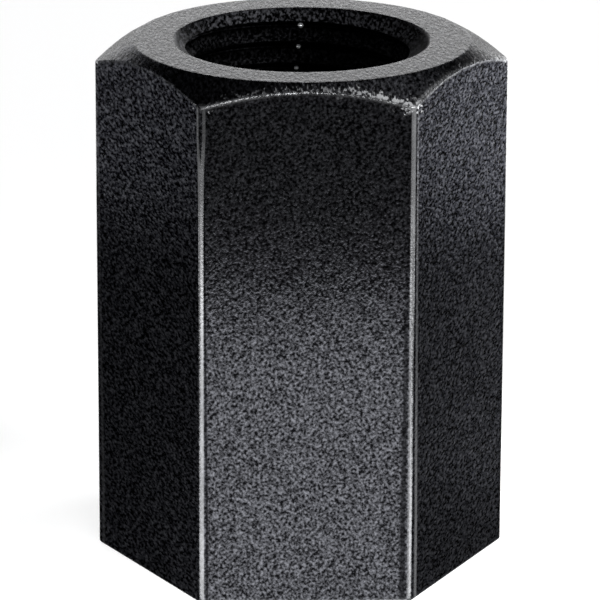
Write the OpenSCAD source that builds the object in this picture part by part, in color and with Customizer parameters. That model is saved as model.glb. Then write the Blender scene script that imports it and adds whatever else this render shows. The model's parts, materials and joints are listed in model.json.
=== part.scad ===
// Coupling nut: a long hexagon nut, threaded right through to join two rods.
// The top end is turned to a chamfer; the bottom end is cut off square.
// The frame stands on the centre of the bottom face: +Z runs up the thread,
// two of the six flats face -Y and +Y, and two of the six edges lie at -X and +X.

/* [Hexagon] */
// Width across the flats, which is the spanner size
across_flats = 24; // [22:0.5:36]
// Height between the two end faces
height = 35.5; // [16:0.5:60]
// Radius along each of the six upright edges
edge_radius = 0.6; // [0.2:0.1:2]

/* [Top chamfer] */
// Distance from a flat in to the rim of the flat ring on the top face
face_inset = 0.75; // [0.3:0.05:1.5]
// Slope of the chamfer down from the top face, in degrees
chamfer_angle = 30; // [15:1:45]

/* [Thread] */
// Nominal diameter of the thread, across its roots
thread_diameter = 16; // [10:0.5:18]
// Pitch of the thread, from one crest to the next
thread_pitch = 1.5; // [0.5:0.25:2.5]

/* [Countersinks] */
// Distance on the radius from the nominal diameter out to the rim of a bore mouth
mouth_relief = 0.6; // [0.2:0.1:1.2]
// Included angle of the countersink at each end of the bore
countersink_angle = 120; // [60:5:120]

/* [Hidden] */

// Segments of every round surface
$fn = 96;
// Overlap that carries a cutting tool clean out through a face
cut_through = 1;
// The ISO metric thread profile: angle of each flank, and shares of the pitch that are flat
flank_angle = 30;
root_flat_in_pitches = 1 / 8;
crest_flat_in_pitches = 1 / 4;

// The hexagon's six sides and the angle between neighbouring edges
sides = 6;
side_angle = 360 / sides;

across_corners = across_flats / cos(side_angle / 2);
face_radius = across_flats / 2 - face_inset;
flank_width = (1 - root_flat_in_pitches - crest_flat_in_pitches) / 2 * thread_pitch;
crest_radius = thread_diameter / 2 - flank_width / tan(flank_angle);
mouth_radius = thread_diameter / 2 + mouth_relief;
countersink_slope = 1 / tan(countersink_angle / 2);
countersink_depth = (mouth_radius - crest_radius) * countersink_slope;
groove_count = floor((height - 2 * countersink_depth) / thread_pitch);

// Outline of the bar: three slabs from flat to flat, and a rod along each edge
module hexagon_section() {
    edge_circle = (across_flats / 2 - edge_radius) / cos(side_angle / 2);
    flat_length = 2 * edge_circle * sin(side_angle / 2);
    for (turn = [0:side_angle:side_angle * (sides / 2 - 1)])
        rotate(turn)
            square([flat_length, across_flats], center = true);
    for (corner = [0:sides - 1])
        rotate(corner * side_angle)
            translate([edge_circle, 0])
                circle(r = edge_radius);
}

// What the lathe leaves: a full round blank with the chamfer turned on its top end
module turned_blank() {
    blank_radius = across_corners / 2 + cut_through;
    chamfer_drop = (blank_radius - face_radius) * tan(chamfer_angle);
    rotate_extrude()
        polygon([
            [0, 0],
            [blank_radius, 0],
            [blank_radius, height - chamfer_drop],
            [face_radius, height],
            [0, height]
        ]);
}

// Countersink at the lower mouth, opening downwards and carried out through the face
module countersink() {
    translate([0, 0, -cut_through])
        cylinder(h = cut_through + countersink_depth,
                 r1 = mouth_radius + cut_through / countersink_slope,
                 r2 = crest_radius);
}

// One groove of the thread as a closed ring, carried in past the crests
module thread_groove() {
    inner_radius = crest_radius - crest_flat_in_pitches * thread_pitch / 2;
    root_reach = root_flat_in_pitches * thread_pitch / 2;
    inner_reach = root_reach + (thread_diameter / 2 - inner_radius) * tan(flank_angle);
    rotate_extrude()
        polygon([
            [inner_radius, -inner_reach],
            [thread_diameter / 2, -root_reach],
            [thread_diameter / 2, root_reach],
            [inner_radius, inner_reach]
        ]);
}

// The bore at the thread's crests, with a groove at each pitch and a countersink at each end
module threaded_bore() {
    first_groove = (height - (groove_count - 1) * thread_pitch) / 2;
    translate([0, 0, -cut_through])
        cylinder(h = height + 2 * cut_through, r = crest_radius);
    for (groove = [0:groove_count - 1])
        translate([0, 0, first_groove + groove * thread_pitch])
            thread_groove();
    countersink();
    translate([0, 0, height])
        mirror([0, 0, 1])
            countersink();
}

module coupling_nut() {
    color([0.15, 0.15, 0.16])
        difference() {
            intersection() {
                linear_extrude(height = height)
                    hexagon_section();
                turned_blank();
            }
            threaded_bore();
        }
}

coupling_nut();
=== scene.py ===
"""A coupling nut in black oxide, worn bright along its edges, with a true helical thread."""
import json
import math

import bpy
import numpy as np
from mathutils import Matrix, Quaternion, Vector


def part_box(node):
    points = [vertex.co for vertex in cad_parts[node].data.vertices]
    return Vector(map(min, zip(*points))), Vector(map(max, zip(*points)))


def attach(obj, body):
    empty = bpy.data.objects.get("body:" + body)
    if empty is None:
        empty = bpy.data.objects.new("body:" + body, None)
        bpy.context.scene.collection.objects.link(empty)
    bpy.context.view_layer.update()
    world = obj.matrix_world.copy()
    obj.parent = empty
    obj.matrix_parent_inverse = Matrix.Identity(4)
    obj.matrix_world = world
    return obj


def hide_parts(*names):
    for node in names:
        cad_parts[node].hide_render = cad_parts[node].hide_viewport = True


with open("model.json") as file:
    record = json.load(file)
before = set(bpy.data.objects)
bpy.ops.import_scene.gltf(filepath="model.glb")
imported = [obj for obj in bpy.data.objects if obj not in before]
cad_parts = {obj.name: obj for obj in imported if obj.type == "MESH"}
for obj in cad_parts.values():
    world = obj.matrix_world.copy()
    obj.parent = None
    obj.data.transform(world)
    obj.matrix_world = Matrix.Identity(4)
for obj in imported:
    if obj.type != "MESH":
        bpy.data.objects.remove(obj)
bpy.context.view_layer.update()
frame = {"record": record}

# ------------------------------------------------------------------ sizes, in millimetres
MM = 0.001
NODE = "coupling_nut"
NODE_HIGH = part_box(NODE)[1]
THREAD_DIMS = {mount["name"]: mount["dims"] for mount in frame["record"]["mounts"]}["thread_top"]

HEIGHT = NODE_HIGH.z / MM
FLAT_RADIUS = NODE_HIGH.y / MM
TIP_RADIUS = NODE_HIGH.x / MM

# The hexagon: its corners before rounding, the radius that the box's width leaves along each edge, and
# the distance between two corners
SIDES = 6
HALF_SIDE = math.pi / SIDES
CORNER_RADIUS = FLAT_RADIUS / math.cos(HALF_SIDE)
EDGE_RADIUS = (CORNER_RADIUS - TIP_RADIUS) / (1 / math.cos(HALF_SIDE) - 1)
SIDE_LENGTH = 2 * FLAT_RADIUS * math.tan(HALF_SIDE)

# The turned top end: its face, its cone, and the height at which the cone leaves an upright edge
FACE_INSET = 0.75
FACE_RADIUS = FLAT_RADIUS - FACE_INSET
CHAMFER_SLOPE = math.tan(math.radians(30))
CORNER_HEIGHT = HEIGHT - (TIP_RADIUS - FACE_RADIUS) * CHAMFER_SLOPE

# The bore: M16 x 1.5, with a 120 degree countersink at each end
THREAD_PITCH = 1.5
ROOT_RADIUS = 8.0
CREST_RADIUS = THREAD_DIMS["r_mm"]
SINK_DEPTH = (HEIGHT - THREAD_DIMS["length_mm"]) / 2
SINK_SPREAD = math.tan(math.radians(60))
MOUTH_RADIUS = CREST_RADIUS + SINK_DEPTH * SINK_SPREAD

# The thread's profile, with places along it as shares of the pitch from the middle of a root
FLANK_ANGLE = math.radians(30)
FLANK_MIDDLE = 0.22
CREST_START = 3 / 8
ROOT_ROUNDING = 0.12
ROOT_SEGMENTS = 3

# The uppermost whole root lies this deep at the back of the bore, a quarter turn from +X. The helix is made
# with turns to spare, half of them above that root's level and half below, and is then cut off.
FIRST_ROOT_DEPTH = 1.08
BACK_TURN = 0.25
SPARE_TURNS = 4

# Where a countersink has just swallowed the thread's roots
CLEAR_RADIUS = ROOT_RADIUS + 0.06
CLEAR_DEPTH = SINK_DEPTH - (CLEAR_RADIUS - CREST_RADIUS) / SINK_SPREAD

# Roundings of the turned edges
MOUTH_ROUNDING = 0.12
BASE_ROUNDING = 0.12
CONE_FOOT_ROUNDING = 0.20
FACE_ROUNDING = 0.30

# Where the mesh has points: round an upright edge, beside it, and up a side from both of its ends.
# Then what counts as a sharp edge, as no difference in size, and, in decimals, as the same place.
EDGE_SEGMENTS = 8
BESIDE_EDGE = np.array([0.12, 0.25, 0.38, 0.55, 0.85, 1.4, 2.2, 3.2, 4.4])
UP_SIDE = [0.1, 0.25, 0.5, 1.0, 2.0, 4.0, 8.0]
SHARP_ANGLE = math.radians(32)
SLACK = 1e-6
WELD_DECIMALS = 5

# ------------------------------------------------------------------ wear and painted shade of the nut
# Edges are numbered from +X, anticlockwise from above, and so are the faces after each of them:
# edges 4 and 5 stand left and right of the front face, which is face 4. Each table has one strength, from 0
# to 1, for each of them.

# Upright edges: the bright line below and near the top, the second line with its strip of painted shade, a
# line of painted shadow, and the knocked corner
EDGE_WORN = np.array([0.45, 0.4, 0.55, 0.45, 0.5, 0.7])
EDGE_WORN_HIGH = np.array([0.3, 0.3, 0.4, 0.3, 0.13, 0.5])
EDGE_DOUBLE = np.array([0.5, 0.3, 0.8, 0.2, 0.0, 1.0])
EDGE_PAINTED_SHADOW = np.array([0.0, 0.4, 0.0, 0.0, 1.0, 0.0])
CORNER_WORN = np.array([0.45, 0.4, 0.7, 0.3, 0.3, 0.95])

# Rims, where a face ends in the cone: the bright line on one, and the scuffed and the soft band above it
RIM_WORN = np.array([0.4, 0.35, 0.6, 0.04, 0.9, 0.36])
RIM_SCUFFED = np.array([0.3, 0.5, 0.3, 0.0, 0.9, 0.35])
RIM_SOFT = np.array([0.1, 0.0, 0.2, 0.0, 0.0, 0.42])

# How far apart the two halves of a split line stand at the top of an edge, in millimetres
EDGE_SPLIT = np.array([0.0, 0.24, 0.0, 0.0, 0.24, 0.0])

# How wear and painted shade change with height: an edge's line, how far what stands beside an edge is
# spread out, the strip of painted shade, the second line, and what counts as the top of an edge
WORN_BY_HEIGHT = ([6, 13, 20, 27], [0.26, 0.17, 0.30, 0.8])
SPREAD_BY_HEIGHT = ([5, 30], [1, 0.6])
DOUBLE_BY_HEIGHT = ([6, 20, 28], [1, 0.9, 0.35])
SECOND_BY_HEIGHT = ([5, 12, 20, 26, 31], [0.20, 0.10, 0.085, 0.10, 0.05])
HIGH_BY_HEIGHT = ([CORNER_HEIGHT - 5, CORNER_HEIGHT - 3], [0, 1])

# How wear changes along a rim, from the left end of its face (0) to the right end (1)
RIM_BY_PLACE = ([0, 0.15, 0.4, 0.8, 1], [1, 0.9, 0.3, 0.35, 0.8])
SCUFF_BY_PLACE = ([0, 1], [0.3, 1])
SOFT_BY_PLACE = ([0, 1], [1, 0.5])

# Reaches in millimetres: of the line on a rim, and of a knock along the outline, inward and in height
RIM_LINE = 0.11
KNOCK_ALONG, KNOCK_INWARD, KNOCK_HEIGHT = 1.1, 0.6, 0.45

# Bands on the cone just above its foot: the height of their middle and their reach
SCUFF_MIDDLE, SCUFF_REACH = 0.12, 0.30
SOFT_MIDDLE, SOFT_REACH = 0.03, 0.08

# How far in from the outline still counts as on a flat and as on the cone, how far inside the mouth the
# bore begins, and a distance that is out of every reach
ON_FLAT, ON_CONE = 0.1, 1.5
BORE_INSET = 0.1
FAR = 9.0


# ------------------------------------------------------------------ mesh of the nut
def fillet(before, corner, after, radius, segments):
    """The points that round one corner of a path with an arc."""
    before, corner, after = (np.array(point, float) for point in (before, corner, after))
    back = (before - corner) / np.linalg.norm(before - corner)
    ahead = (after - corner) / np.linalg.norm(after - corner)
    half_angle = math.acos(back @ ahead) / 2
    centre = corner + (back + ahead) / np.linalg.norm(back + ahead) * radius / math.sin(half_angle)
    first = corner + back * radius / math.tan(half_angle) - centre
    last = corner + ahead * radius / math.tan(half_angle) - centre
    turn = math.pi - 2 * half_angle
    steps = np.linspace(0, 1, segments + 1)
    return [centre + (math.sin((1 - t) * turn) * first + math.sin(t * turn) * last) / math.sin(turn)
            for t in steps]


def hexagon_outline():
    """Columns round the nut: angle, radius and signed distance along the outline from the nearest edge."""
    edge_circle = (FLAT_RADIUS - EDGE_RADIUS) / math.cos(HALF_SIDE)
    half_flat = edge_circle * math.sin(HALF_SIDE)
    half_arc = EDGE_RADIUS * HALF_SIDE
    arc_steps = np.linspace(-HALF_SIDE, HALF_SIDE, EDGE_SEGMENTS + 1)
    columns = []
    for corner in range(SIDES):
        corner_angle = 2 * corner * HALF_SIDE
        middle = edge_circle * np.array([math.cos(corner_angle), math.sin(corner_angle)])
        for step in arc_steps:
            turn = corner_angle + step
            point = middle + EDGE_RADIUS * np.array([math.cos(turn), math.sin(turn)])
            columns.append((point, corner, EDGE_RADIUS * step))
        flat_angle = corner_angle + HALF_SIDE
        normal = np.array([math.cos(flat_angle), math.sin(flat_angle)])
        along = np.array([-normal[1], normal[0]])
        for distance in BESIDE_EDGE:
            point = normal * FLAT_RADIUS + along * (distance - half_flat)
            columns.append((point, corner, half_arc + distance))
        columns.append((normal * FLAT_RADIUS, corner, half_arc + half_flat))
        for distance in BESIDE_EDGE[::-1]:
            point = normal * FLAT_RADIUS + along * (half_flat - distance)
            columns.append((point, (corner + 1) % SIDES, -half_arc - distance))
    points = np.array([column[0] for column in columns])
    angles = np.arctan2(points[:, 1], points[:, 0]) % (2 * math.pi)
    order = np.argsort(angles)
    corners = np.array([column[1] for column in columns])
    from_edge = np.array([column[2] for column in columns])
    return angles[order], np.linalg.norm(points, axis=1)[order], corners[order], from_edge[order]


def section(side_radius):
    """Path from the lower countersink round the outside to the upper one, with its rubbed turns marked."""
    cone_foot = HEIGHT - (side_radius - FACE_RADIUS) * CHAMFER_SLOPE
    #    radius and height       rounding            segments, how rubbed
    turns = [
        ((MOUTH_RADIUS, 0), MOUTH_ROUNDING, 3, 0.0),
        ((side_radius, 0), BASE_ROUNDING, 4, 0.4),
        ((side_radius, cone_foot), CONE_FOOT_ROUNDING, 6, 1.0),
        ((FACE_RADIUS, HEIGHT), FACE_ROUNDING, 4, 0.0),
        ((MOUTH_RADIUS, HEIGHT), MOUTH_ROUNDING, 4, 0.0),
    ]
    ends = [(CLEAR_RADIUS, CLEAR_DEPTH), (CLEAR_RADIUS, HEIGHT - CLEAR_DEPTH)]
    corners = [ends[0]] + [turn[0] for turn in turns] + [ends[1]]
    # Points on each straight run before, between and after the turns, as shares of its length, but on the
    # side by the distances of UP_SIDE
    runs = [
        [0.5],
        [0.03, 0.1, 0.3, 0.7, 0.9, 0.97],
        None,
        [0.05, 0.12, 0.25, 0.5, 0.75],
        [0.08, 0.3, 0.6, 0.85],
        [0.5],
    ]
    path, middles = [np.array(ends[0])], []
    for place, (corner, radius, segments, rubbed) in enumerate(turns):
        arc = fillet(corners[place], corner, corners[place + 2], radius, segments)
        path += between(path[-1], arc[0], runs[place])
        middles.append((len(path) + segments / 2, rubbed))
        path += arc
    path += between(path[-1], np.array(ends[1]), runs[-1])
    path.append(np.array(ends[1]))
    path = np.array(path)
    travelled = np.r_[0, np.cumsum(np.linalg.norm(np.diff(path, axis=0), axis=1))]
    rim = np.zeros(len(path))
    for middle, rubbed in middles:
        centre = np.interp(middle, np.arange(len(path)), travelled)
        rim = np.maximum(rim, rubbed * np.exp(-((travelled - centre) / RIM_LINE) ** 2))
    return path, rim


def between(start, end, shares):
    """Points inside a straight run: at given shares of it, or closer together towards both of its ends."""
    if shares is None:
        near = [step / np.linalg.norm(end - start) for step in UP_SIDE]
        shares = near + [0.5] + [1 - step for step in near[::-1]]
    return [start + (end - start) * share for share in shares]


def thread_stations():
    """One pitch of the ISO internal thread: the places of its points in pitches, and their radii."""
    flank_apex = ROOT_RADIUS + THREAD_PITCH / 16 / math.tan(FLANK_ANGLE)
    root_centre = flank_apex - ROOT_ROUNDING / math.sin(FLANK_ANGLE)
    turns = np.linspace(0, math.pi / 2 - FLANK_ANGLE, ROOT_SEGMENTS + 1)
    half = [(ROOT_ROUNDING * math.sin(turn) / THREAD_PITCH, root_centre + ROOT_ROUNDING * math.cos(turn))
            for turn in turns]
    half.append((FLANK_MIDDLE, flank_apex - FLANK_MIDDLE * THREAD_PITCH / math.tan(FLANK_ANGLE)))
    half.append((CREST_START, CREST_RADIUS))
    full = half + [(0.5, CREST_RADIUS)] + [(1 - place, radius) for place, radius in half[:0:-1]]
    return np.array(full)


def bore(angles):
    """Rows of the threaded bore from bottom to top, following the helix, cut back by both countersinks."""
    stations = thread_stations()
    low, high = CLEAR_DEPTH, HEIGHT - CLEAR_DEPTH
    turns = math.ceil((high - low) / THREAD_PITCH) + SPARE_TURNS
    start = (HEIGHT - FIRST_ROOT_DEPTH) / THREAD_PITCH - BACK_TURN - turns + SPARE_TURNS // 2
    place = np.concatenate([stations[:, 0] + turn for turn in range(turns)]) + start
    profile = np.tile(stations[:, 1], turns)
    heights = THREAD_PITCH * (place[None, :] + angles[:, None] / (2 * math.pi))
    radii = np.tile(profile, (len(angles), 1))
    creased = np.zeros(heights.shape, bool)

    def cone(height):
        inside = np.maximum(height - (HEIGHT - SINK_DEPTH), SINK_DEPTH - height)
        return CREST_RADIUS + SINK_SPREAD * np.maximum(inside, 0)

    # Where a countersink cuts the thread, or meets its crest, the nearest point moves to the crease
    for column in range(len(angles)):
        row_heights, row_radii = heights[column].copy(), radii[column].copy()
        over = row_radii - cone(row_heights)
        creases = []
        for row in np.nonzero(over[:-1] * over[1:] < 0)[0]:
            share = over[row] / (over[row] - over[row + 1])
            creases.append(row_heights[row] + share * (row_heights[row + 1] - row_heights[row]))
        for rim in (SINK_DEPTH, HEIGHT - SINK_DEPTH):
            if np.interp(rim, row_heights, row_radii) < CREST_RADIUS + SLACK:
                creases.append(rim)
        for crease in creases:
            row = np.argmin(abs(row_heights - crease))
            heights[column, row] = crease
            creased[column, row] = True
        radii[column] = np.maximum(np.interp(heights[column], row_heights, row_radii),
                                   cone(heights[column]))
    clipped = np.clip(heights, low, high)
    radii = np.where(clipped == heights, radii, CLEAR_RADIUS)
    return clipped, radii, creased, len(stations)


def nut_mesh():
    """Vertices, faces and the masks of wear and painted shade of the whole nut."""
    angles, side_radii, corners, from_edge = hexagon_outline()
    columns = len(angles)
    sections = [section(radius) for radius in side_radii]
    outer = np.array([path for path, rim in sections])
    rim = np.array([rim for path, rim in sections])
    outer_rows = outer.shape[1]
    bore_heights, bore_radii, creased, pitch_rows = bore(angles)
    bore_rows = bore_heights.shape[1]

    radii = np.concatenate([outer[:, :, 0], bore_radii], axis=1)
    heights = np.concatenate([outer[:, :, 1], bore_heights], axis=1)
    rows = outer_rows + bore_rows
    vertices = np.stack([radii * np.cos(angles)[:, None], radii * np.sin(angles)[:, None], heights], -1)

    masks = {}
    for name, (values, beyond) in wear_and_shade_masks(outer, rim, side_radii, corners, from_edge).items():
        masks[name] = np.full(radii.shape, beyond)
        masks[name][:, :outer_rows] = values

    # After a whole turn the helix has risen by one pitch. A face with a crease across it is split.
    faces = []
    for column in range(columns):
        following = (column + 1) % columns
        here, there = column * rows, following * rows
        for row in range(outer_rows - 1):
            faces.append((here + row, there + row, there + row + 1, here + row + 1))
        shift = pitch_rows if following == 0 else 0
        for row in range(bore_rows - 1 - shift):
            a, b = here + outer_rows + row, there + outer_rows + row + shift
            low_here, high_here = creased[column, row], creased[column, row + 1]
            low_there, high_there = creased[following, row + shift], creased[following, row + 1 + shift]
            if low_here and high_there and not (high_here or low_there):
                faces += [(a, a + 1, b + 1), (a, b + 1, b)]
            elif high_here and low_there and not (low_here or high_there):
                faces += [(a, a + 1, b), (a + 1, b + 1, b)]
            else:
                faces.append((a, a + 1, b + 1, b))
    return weld(vertices.reshape(-1, 3), faces, {name: mask.ravel() for name, mask in masks.items()})


def wear_and_shade_masks(outer, rim, side_radii, corners, from_edge):
    """Masks of wear and painted shade on the outside, each with its value in the bore."""
    radius, height = outer[:, :, 0], outer[:, :, 1]
    inward = side_radii[:, None] - radius
    along = from_edge[:, None] + 0 * radius
    face = np.where(from_edge < 0, (corners - 1) % SIDES, corners)

    def by_edge(table):
        return table[corners][:, None]

    def by_face(table):
        return table[face][:, None]

    high = np.interp(height, *HIGH_BY_HEIGHT)
    upright = by_edge(EDGE_WORN) * np.interp(height, *WORN_BY_HEIGHT) * (1 - high)
    upright = upright + by_edge(EDGE_WORN_HIGH) * high
    on_flat = inward < ON_FLAT
    knock = by_edge(CORNER_WORN) * np.exp(-(along / KNOCK_ALONG) ** 2 - (inward / KNOCK_INWARD) ** 2
                                          - ((height - CORNER_HEIGHT) / KNOCK_HEIGHT) ** 2)

    across = np.clip(from_edge / SIDE_LENGTH, -0.5, 0.5)
    place = np.where(from_edge < 0, 1 + across, across)[:, None]
    above = np.maximum(height - HEIGHT + (side_radii - FACE_RADIUS)[:, None] * CHAMFER_SLOPE, 0)
    on_cone = (inward < ON_CONE) * (above > 0)
    line = by_face(RIM_WORN) * rim * np.interp(place, *RIM_BY_PLACE)
    scuff = by_face(RIM_SCUFFED) * np.interp(place, *SCUFF_BY_PLACE) * on_cone
    scuff = scuff * np.exp(-((above - SCUFF_MIDDLE) / SCUFF_REACH) ** 2)
    soft = by_face(RIM_SOFT) * np.interp(place, *SOFT_BY_PLACE) * on_cone
    soft = soft * np.exp(-((above - SOFT_MIDDLE) / SOFT_REACH) ** 2)
    return {
        "edge_gap": (np.hypot(along, inward), FAR),
        "edge_place": (along / np.interp(height, *SPREAD_BY_HEIGHT), FAR),
        "edge_split": (by_edge(EDGE_SPLIT) * high, 0.0),
        "edge_worn": (upright, 0.0),
        # edge_double gives the strength of the bright line's darker side and of a strip of painted shade
        "edge_double": (by_edge(EDGE_DOUBLE) * on_flat * np.interp(height, *DOUBLE_BY_HEIGHT), 0.0),
        "edge_second": (by_edge(EDGE_DOUBLE) * on_flat * np.interp(height, *SECOND_BY_HEIGHT), 0.0),
        # A line of painted shadow beside some upright edges
        "edge_painted_shadow": (by_edge(EDGE_PAINTED_SHADOW) * on_flat * (1 - high), 0.0),
        "rim_worn": (np.maximum(line, soft), 0.0),
        "scuffed": (np.maximum(knock, scuff), 0.0),
        "bored": ((radius < MOUTH_RADIUS - BORE_INSET) * 1.0, 1.0),
    }


def weld(vertices, faces, masks):
    """Merges vertices that share a place and drops the faces that this closes up."""
    unique, kept, renumbered = np.unique(np.round(vertices, WELD_DECIMALS), axis=0, return_index=True,
                                         return_inverse=True)
    renumbered = renumbered.ravel()
    welded = []
    for face in faces:
        corners = [int(renumbered[vertex]) for vertex in face]
        corners = [v for place, v in enumerate(corners) if v != corners[place - 1]]
        if len(set(corners)) >= 3 and len(set(corners)) == len(corners):
            welded.append(corners)
    return unique, welded, {name: mask[kept] for name, mask in masks.items()}


def build_nut():
    """The nut as one object, with its masks of wear and painted shade as attributes of its points."""
    vertices, faces, masks = nut_mesh()
    mesh = bpy.data.meshes.new("nut")
    mesh.from_pydata((vertices * MM).tolist(), [], faces)
    for name, values in masks.items():
        mesh.attributes.new(name, "FLOAT", "POINT").data.foreach_set("value", values.astype(np.float32))
    mesh.shade_smooth()
    mesh.set_sharp_from_angle(angle=SHARP_ANGLE)
    nut = bpy.data.objects.new("nut", mesh)
    bpy.context.scene.collection.objects.link(nut)
    weighted = nut.modifiers.new("weighted_normals", "WEIGHTED_NORMAL")
    weighted.keep_sharp = True
    return nut


# ------------------------------------------------------------------ material
# Colours: linear red, green and blue, and alpha
OXIDE_DARK = (0.0006, 0.0006, 0.0007, 1)
OXIDE_LIGHT = (0.0280, 0.0286, 0.0318, 1)
BORE_OXIDE = (0.066, 0.067, 0.074, 1)
WORN_STEEL = (0.38, 0.385, 0.395, 1)
NICK_STEEL = (0.85, 0.86, 0.88, 1)
GRAZING_TINT = (0.462, 0.462, 0.463, 1)

# The grain lies longer from front to back, and is turned out of line with the noise's own lattice
GRAIN_STRETCH = (1.0, 0.36, 1.0)
GRAIN_TURN = (0.5, 0.65, 0.4)

# How fine the noises are, in waves per millimetre
GRAIN_SCALE = 5.3
PORE_SCALE = 6.8
BLOTCH_SCALE = 4.8
DRIFT_SCALE = 0.5

# Ramps below are given as where they start and end, and what they run from and to if not from 0 to 1.
# Distances in them are in millimetres.

# The bright line on an upright edge: its fading to both sides, how much thinner its halves are where it is
# split, its slow changes along the edge, and its darker side where a second line stands beside it
LINE_FADE = (0.22, 0.12)
SPLIT_THINNING = 3.0
LINE_DRIFT = (0.3, 0.6, 0.75, 1.0)
DARKER_SIDE = (0.05, -0.12)
DARKER_SIDE_LOSS = 0.75

# What stands beside an edge: how far from it at most, and then the place of each line and its reach
BESIDE_FADE = (1.6, 1.4)
SECOND_LINE = (0.74, 0.28)
# A strip of painted shade and a line of painted shadow, and how much of the oxide's tone they take away
PAINTED_SHADE_STRIP = (-0.48, 0.30)
PAINTED_SHADOW_LINE = (0.37, 0.14)
PAINTED_SHADE_LOSS = 0.8

# Rims are rubbed in blotches, and scuffs break up into flecks
RIM_BLOTCHES = (0.38, 0.58, 0.45, 1.15)
FLECK_SPREAD = 2.2
FLECKS = (0.40, 0.95, 0, 0.5)
SCUFF_LIMIT = (0.02, 0.15)

# Small bright nicks: their places and reaches, and their brightness
NICKS = (
    ((0.16, 8.0, 34.42), 0.24, 1.0),
    ((0.02, 8.0, 32.92), 0.20, 0.9),
    ((-0.12, 8.0, 31.42), 0.20, 0.9),
    ((1.95, -12.0, 34.66), 0.13, 0.12),
    ((2.17, -12.0, 34.69), 0.11, 0.10),
    ((2.05, -12.0, 33.15), 0.10, 0.08),
)

# The oxide's tone from dark to light, and how much more contrast it has in the bore
TONE = (0.345, 0.715)
TONE_POWER = 1.5
BORE_CONTRAST = 0.8

# Painted shade in the thread: the thread by its height from the middle and its radius, its roots by their
# radius, and how much of the oxide's tone the painted shade takes from each
THREAD_END_FADE = (17.0, 16.8)
THREAD_SIDE_FADE = (8.8, 8.7)
ROOT_FADE = (7.75, 7.95)
THREAD_PAINTED_SHADE = 0.7
ROOT_PAINTED_SHADE = 0.27

# Painted shade at the right end of the bore's mouth, which is also made rougher there: where it sets in,
# how much tone it takes away, and the roughness it adds
MOUTH_SHADE_FADE = (4.5, 7.2)
MOUTH_SHADE_LOSS = 0.6
MOUTH_ROUGHNESS = 0.36

# Roughness and relief
PORE_ROUGHNESS = (0.3, 0.7, 0.30, 0.22)
BORE_ROUGHNESS = 0.24
WORN_ROUGHNESS = 0.32
GRAIN_DEPTH = 0.042
BORE_RELIEF = (0, 1, 1, 0.6)
WORN_RELIEF = (0, 0.5, 1, 0)


class Nodes:
    """Short forms for making and joining shader nodes."""

    def __init__(self, tree):
        self.tree = tree
        tree.nodes.clear()

    def add(self, kind, inputs=None, **settings):
        """A new node, with its inputs set to values or joined to other nodes."""
        node = self.tree.nodes.new("ShaderNode" + kind)
        for name, value in settings.items():
            setattr(node, name, value)
        for name, value in (inputs or {}).items():
            socket = node.inputs[name]
            if isinstance(value, bpy.types.NodeSocket):
                self.tree.links.new(value, socket)
            else:
                socket.default_value = value
        return node

    def math(self, operation, first, second=0.0, third=0.0, clamp=False):
        """The result of one operation."""
        node = self.add("Math", {0: first, 1: second, 2: third}, operation=operation, use_clamp=clamp)
        return node.outputs[0]

    def lessen(self, value, share, loss):
        """A value that loses a given part of itself where the share is 1."""
        return self.math("MULTIPLY", value, self.math("MULTIPLY_ADD", share, -loss, 1.0))

    def ramp(self, value, low, high, to_low=0.0, to_high=1.0, smooth=True):
        """A ramp from one level to another, held level before and after it."""
        kind = "SMOOTHSTEP" if smooth else "LINEAR"
        node = self.add("MapRange", {"Value": value, "From Min": low, "From Max": high,
                                     "To Min": to_low, "To Max": to_high}, interpolation_type=kind)
        return node.outputs["Result"]

    def bell(self, value, middle, reach):
        """1 at a place along a line, falling to 0 at a given reach on either side of it."""
        gap = self.math("ABSOLUTE", self.math("SUBTRACT", value, middle))
        return self.ramp(gap, reach, reach / 4)

    def noise(self, coordinates, scale, detail=2.0, roughness=0.5):
        """Noise from 0 to 1."""
        node = self.add("TexNoise", {"Vector": coordinates, "Scale": scale, "Detail": detail,
                                     "Roughness": roughness})
        return node.outputs["Fac"]

    def mix(self, share, first, second):
        """A mix of two colours."""
        node = self.add("Mix", {0: share, 6: first, 7: second}, data_type="RGBA")
        return node.outputs[2]

    def mask(self, name):
        """One of the mesh's masks of wear and painted shade."""
        return self.add("Attribute", attribute_name=name).outputs["Fac"]

    def millimetres(self):
        """The place on the nut, as three numbers."""
        place = self.add("SeparateXYZ", {0: self.add("TexCoord").outputs["Object"]})
        return [self.math("DIVIDE", place.outputs[axis], MM) for axis in "XYZ"]

    def finish(self, kind, shader):
        """Joins a shader to the tree's output."""
        self.tree.links.new(shader.outputs[0], self.add(kind).inputs["Surface"])


def edge_line(n, drift):
    """The bright line on an upright edge, split in two at its top where a table says so."""
    split = n.mask("edge_split")
    gap = n.math("ABSOLUTE", n.math("SUBTRACT", n.mask("edge_gap"), split))
    gap = n.math("MULTIPLY", gap, n.math("MULTIPLY_ADD", split, SPLIT_THINNING, 1.0))
    line = n.math("MULTIPLY", n.ramp(gap, *LINE_FADE), n.mask("edge_worn"))
    line = n.math("MULTIPLY", line, n.ramp(drift, *LINE_DRIFT))
    darker = n.math("MULTIPLY", n.ramp(n.mask("edge_place"), *DARKER_SIDE), n.mask("edge_double"))
    return n.lessen(line, darker, DARKER_SIDE_LOSS)


def beside_edge(n, shape, strength):
    """A line beside an upright edge, given by its place and reach, as strong as a mask says."""
    near = n.math("MULTIPLY", n.ramp(n.mask("edge_gap"), *BESIDE_FADE), n.mask(strength))
    return n.math("MULTIPLY", n.bell(n.mask("edge_place"), *shape), near)


def rubbed_rim(n, blotches):
    """The worn rims of the flats."""
    return n.math("MULTIPLY", n.mask("rim_worn"), n.ramp(blotches, *RIM_BLOTCHES))


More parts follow.
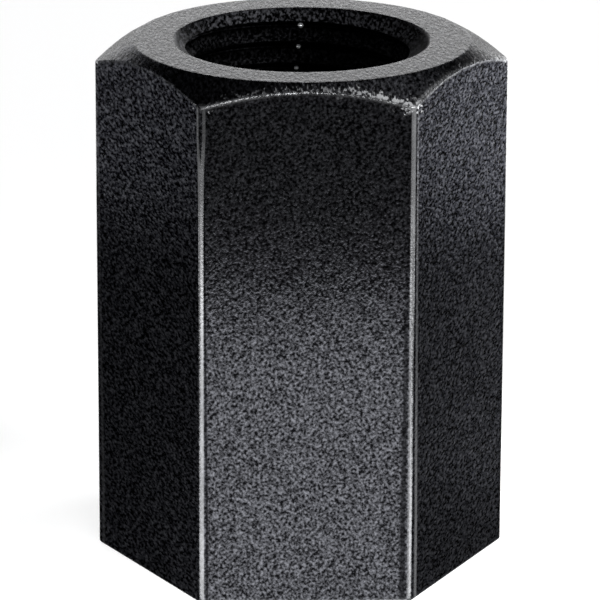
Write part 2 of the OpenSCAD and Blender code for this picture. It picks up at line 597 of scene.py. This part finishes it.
def flecks(n, blotches):
    """Bright flecks where the nut is scuffed."""
    scuffed = n.mask("scuffed")
    ragged = n.math("MULTIPLY_ADD", n.math("SUBTRACT", blotches, 0.5), FLECK_SPREAD, scuffed)
    return n.math("MULTIPLY", n.ramp(ragged, *FLECKS), n.ramp(scuffed, *SCUFF_LIMIT))


def nicks(n, place):
    """1 in each nick and 0 away from all of them."""
    found = 0.0
    for centre, reach, brightness in NICKS:
        centre = tuple(value * stretch for value, stretch in zip(centre, GRAIN_STRETCH))
        gap = n.add("VectorMath", {0: place, 1: centre}, operation="DISTANCE").outputs["Value"]
        found = n.math("MAXIMUM", n.ramp(gap, reach, reach / 2, 0, brightness), found)
    return found


def painted_mouth_shade(n, x):
    """1 at the right end of the bore's mouth, where painted shade darkens the oxide and the roughness
    rises.
    """
    return n.math("MULTIPLY", n.ramp(x, *MOUTH_SHADE_FADE), n.mask("bored"))


def painted_thread_shade(n, x, y, z):
    """Painted shade in the thread: the oxide's tone is dimmed below the countersinks and nearly black in
    the roots.
    """
    radius = n.math("SQRT", n.math("MULTIPLY_ADD", x, x, n.math("MULTIPLY", y, y)))
    from_middle = n.math("ABSOLUTE", n.math("SUBTRACT", z, HEIGHT / 2))
    threaded = n.math("MULTIPLY", n.ramp(from_middle, *THREAD_END_FADE), n.ramp(radius, *THREAD_SIDE_FADE))
    rooted = n.math("MULTIPLY", threaded, n.ramp(radius, *ROOT_FADE))
    shade = n.math("MULTIPLY_ADD", threaded, -THREAD_PAINTED_SHADE, 1.0)
    return n.math("MULTIPLY_ADD", rooted, -ROOT_PAINTED_SHADE, shade)


def blackened_steel():
    """Fine-grained black oxide that is rubbed to bare metal in lines along the edges and in scuffs."""
    material = bpy.data.materials.new("blackened_steel")
    material.use_nodes = True
    n = Nodes(material.node_tree)
    place = n.add("TexCoord").outputs["Object"]
    to_grain = tuple(stretch / MM for stretch in GRAIN_STRETCH)
    place = n.add("VectorMath", {0: place, 1: to_grain}, operation="MULTIPLY").outputs["Vector"]
    turned = n.add("VectorRotate", {"Vector": place, "Rotation": GRAIN_TURN}, rotation_type="EULER_XYZ")
    turned = turned.outputs[0]
    grain = n.noise(turned, GRAIN_SCALE, roughness=0.55)
    pores = n.noise(turned, PORE_SCALE, detail=1.0)
    blotches = n.noise(turned, BLOTCH_SCALE, detail=1.0)
    drift = n.noise(place, DRIFT_SCALE)
    bored = n.mask("bored")
    x, y, z = n.millimetres()

    lines = n.math("MAXIMUM", edge_line(n, drift), beside_edge(n, SECOND_LINE, "edge_second"))
    bare = n.math("MAXIMUM", n.math("MAXIMUM", lines, rubbed_rim(n, blotches)), flecks(n, blotches))
    nick = nicks(n, place)
    bare = n.math("MAXIMUM", bare, nick, clamp=True)
    # Painted shade beside upright edges: a strip next to the second line, and a thin line of painted shadow
    strip = beside_edge(n, PAINTED_SHADE_STRIP, "edge_double")
    dark = n.math("MAXIMUM", strip, beside_edge(n, PAINTED_SHADOW_LINE, "edge_painted_shadow"))
    # Painted shade at the right end of the bore's mouth, which is also made rougher
    mouth_shade = painted_mouth_shade(n, x)

    contrast = n.math("MULTIPLY_ADD", bored, BORE_CONTRAST, 1.0)
    tone = n.ramp(grain, *TONE, smooth=False)
    tone = n.math("MULTIPLY_ADD", n.math("SUBTRACT", tone, 0.5), contrast, 0.5, clamp=True)
    tone = n.math("POWER", tone, TONE_POWER)
    # The painted shade beside the edges darkens the oxide's tone
    tone = n.lessen(tone, dark, PAINTED_SHADE_LOSS)
    # Painted shade in the thread, darkest in its roots
    tone = n.math("MULTIPLY", tone, painted_thread_shade(n, x, y, z))
    # The painted shade at the mouth's right end darkens the oxide's tone
    tone = n.lessen(tone, mouth_shade, MOUTH_SHADE_LOSS)
    oxide = n.mix(tone, OXIDE_DARK, n.mix(bored, OXIDE_LIGHT, BORE_OXIDE))
    colour = n.mix(bare, oxide, n.mix(nick, WORN_STEEL, NICK_STEEL))

    coated = n.math("ADD", n.ramp(pores, *PORE_ROUGHNESS), n.math("MULTIPLY", bored, BORE_ROUGHNESS))
    coated = n.math("MULTIPLY_ADD", mouth_shade, MOUTH_ROUGHNESS, coated)
    roughness = n.add("Mix", {0: bare, 2: coated, 3: WORN_ROUGHNESS}, data_type="FLOAT").outputs[0]
    relief = n.math("MULTIPLY", grain, n.ramp(bored, *BORE_RELIEF))
    relief = n.math("MULTIPLY", relief, n.ramp(bare, *WORN_RELIEF))
    bump = n.add("Bump", {"Strength": 1.0, "Distance": GRAIN_DEPTH * MM, "Height": relief})

    shader = n.add("BsdfPrincipled", {"Base Color": colour, "Metallic": 1.0, "Roughness": roughness,
                                      "Specular Tint": GRAZING_TINT, "Normal": bump.outputs[0]})
    n.finish("OutputMaterial", shader)
    return material


# ------------------------------------------------------------------ stage and light, in metres
# The floor: half of its side, how far it lies below the nut, its colours, and how much of the even white
# the camera and the mirroring faces see in it
FLOOR_HALF = 1.5
FLOOR_DROP = 0.00002
FLOOR_PALE = (0.95, 0.95, 0.95, 1)
WHITE = (1, 1, 1, 1)
FLOOR_GLOW = 0.5

# The sky of the studio: its colours, and the elevations in degrees between which one gives way to the next
SKY_LOW = (0.6, 0.6, 0.6, 1)
SKY_MIDDLE = (0.10, 0.10, 0.105, 1)
SKY_HIGH = (0.31, 0.31, 0.32, 1)
SKY_MIDDLE_FROM = (12, 34)
SKY_HIGH_FROM = (54, 70)

# Lamps at a distance: azimuth and elevation in degrees, distance, width, depth, brightness
LAMPS = {
    "key": (60, 25, 1.6, 0.6, 0.6, 27.0),
    "back": (180, 14, 1.2, 0.9, 0.36, 6.3),
    "front_strip": (-2, 40, 0.8, 0.02, 0.12, 150.0),
    "top": (128, 58, 1.2, 0.6, 0.6, 2.5),
}

# Glowing cards low in front of the front flat: distance from it, height, what they face, depth, brightness
FRONT_CARD_WIDTH = 0.06
FRONT_CARDS = {
    "front_card": (0.0085, 0.0083, (0, 0.84, 0.54), 0.0190, 9.4),
    "front_foot": (0.0018, 0.0002, (0, 0.08, 1), 0.0034, 8.4),
}

# Glowing cards behind the nut's sides: right (1) or left (-1), distance from the face that mirrors them,
# shift outward, height, depth, brightness
SIDE_CARD_WIDTH = 0.03
SIDE_CARDS = {
    "right_card": (1, 0.030, 0.011, 0.0282, 0.023, 12.0),
    "right_card_low": (1, 0.016, 0.0124, 0.0105, 0.021, 2.2),
    "left_card": (-1, 0.024, 0.007, 0.0342, 0.0306, 2.8),
}


def plain_floor():
    """A pale floor that takes a soft shadow."""
    low, high, drop = -FLOOR_HALF, FLOOR_HALF, -FLOOR_DROP
    corners = [(low, low, drop), (high, low, drop), (high, high, drop), (low, high, drop)]
    mesh = bpy.data.meshes.new("floor")
    mesh.from_pydata(corners, [], [(0, 1, 2, 3)])
    floor = bpy.data.objects.new("floor", mesh)
    bpy.context.scene.collection.objects.link(floor)
    material = bpy.data.materials.new("pale_floor")
    material.use_nodes = True
    n = Nodes(material.node_tree)
    lit = n.add("BsdfDiffuse", {"Color": FLOOR_PALE})
    white = n.add("Emission", {"Color": WHITE, "Strength": 1.0})
    ray = n.add("LightPath").outputs
    mirrored = n.math("MAXIMUM", ray["Is Glossy Ray"], ray["Is Transmission Ray"])
    share = n.math("MULTIPLY", n.math("MAXIMUM", ray["Is Camera Ray"], mirrored), FLOOR_GLOW)
    n.finish("OutputMaterial", n.add("MixShader", {0: share, 1: lit.outputs[0], 2: white.outputs[0]}))
    mesh.materials.append(material)


def soft_world():
    """A studio that is pale towards the horizon, dim higher up and lit a little on its ceiling."""
    world = bpy.data.worlds.new("studio")
    world.use_nodes = True
    n = Nodes(world.node_tree)
    direction = n.add("SeparateXYZ", {0: n.add("TexCoord").outputs["Generated"]})
    elevation = n.math("ARCSINE", direction.outputs["Z"])
    above = n.ramp(elevation, *map(math.radians, SKY_MIDDLE_FROM))
    ceiling = n.ramp(elevation, *map(math.radians, SKY_HIGH_FROM))
    colour = n.mix(ceiling, n.mix(above, SKY_LOW, SKY_MIDDLE), SKY_HIGH)
    n.finish("OutputWorld", n.add("Background", {"Color": colour, "Strength": 1.0}))
    bpy.context.scene.world = world


def towards(azimuth, elevation):
    """Unit vector from the nut: azimuth 0 is in front of it, 90 to its right."""
    a, e = math.radians(azimuth), math.radians(elevation)
    return Vector((math.sin(a) * math.cos(e), -math.cos(a) * math.cos(e), math.sin(e)))


def soft_lamp(name, place, target, width, depth, brightness):
    """An area lamp of a given size that looks at a target; brightness 1 is as bright as white."""
    light = bpy.data.lights.new(name, "AREA")
    light.shape = "RECTANGLE"
    light.size, light.size_y = width, depth
    light.energy = brightness * math.pi * width * depth
    lamp = bpy.data.objects.new(name, light)
    lamp.location = place
    lamp.rotation_euler = (target - place).to_track_quat("-Z", "Y").to_euler()
    lamp.visible_camera = False
    bpy.context.scene.collection.objects.link(lamp)


def side_card(name, side, distance, shift, height, depth, brightness):
    """A small glowing card behind the nut's right (1) or left (-1) side, mirrored by the face there."""
    face_middle = Vector((side * math.cos(HALF_SIDE), -math.sin(HALF_SIDE), 0)) * FLAT_RADIUS * MM
    away = Vector((side * math.sin(2 * HALF_SIDE), math.cos(2 * HALF_SIDE), 0))
    outward = Vector((-side * math.cos(2 * HALF_SIDE), math.sin(2 * HALF_SIDE), 0))
    place = face_middle + away * distance + outward * shift + Vector((0, 0, height))
    soft_lamp(name, place, place - away, SIDE_CARD_WIDTH, depth, brightness)


def studio_light():
    """Soft lamps round the nut, and the cards that its faces mirror."""
    middle = Vector((0, 0, HEIGHT * MM / 2))
    for name, (azimuth, elevation, distance, width, depth, brightness) in LAMPS.items():
        soft_lamp(name, middle + towards(azimuth, elevation) * distance, middle, width, depth, brightness)
    for name, (distance, height, facing, depth, brightness) in FRONT_CARDS.items():
        place = Vector((0, -FLAT_RADIUS * MM - distance, height))
        soft_lamp(name, place, place + Vector(facing), FRONT_CARD_WIDTH, depth, brightness)
    for name, card in SIDE_CARDS.items():
        side_card(name, *card)


# ------------------------------------------------------------------ camera
CAMERA_DISTANCE = 0.3202
CAMERA_AZIMUTH = -1.8
CAMERA_ELEVATION = 17.6
CAMERA_ROLL = 0.22
LENS_LENGTH, SENSOR_WIDTH = 283.98, 36.0
CLIP_START, CLIP_END = 0.01, 10

# How far left of the nut's middle and below it the camera looks
AIM_LEFT = 0.000060
AIM_BELOW = 0.00046


def set_camera():
    """A long lens in front of the nut, a little to the left and above it, slightly rolled."""
    data = bpy.data.cameras.new("camera")
    data.sensor_width = SENSOR_WIDTH
    data.lens = LENS_LENGTH
    data.clip_start, data.clip_end = CLIP_START, CLIP_END
    camera = bpy.data.objects.new("camera", data)
    middle = Vector((0, 0, HEIGHT * MM / 2))
    back = towards(CAMERA_AZIMUTH, CAMERA_ELEVATION)
    right = Vector((0, 0, 1)).cross(back).normalized()
    up = back.cross(right)
    aim = middle - right * AIM_LEFT - up * AIM_BELOW
    camera.location = middle + back * CAMERA_DISTANCE
    level = (camera.location - aim).to_track_quat("Z", "Y")
    roll = Quaternion((0, 0, 1), math.radians(CAMERA_ROLL))
    camera.rotation_euler = (level @ roll).to_euler()
    bpy.context.scene.collection.objects.link(camera)
    bpy.context.scene.camera = camera


nut = build_nut()
nut.data.materials.append(blackened_steel())
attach(nut, "root")
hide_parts(NODE)

plain_floor()
soft_world()
studio_light()
set_camera()
bpy.context.scene.view_settings.view_transform = "Standard"
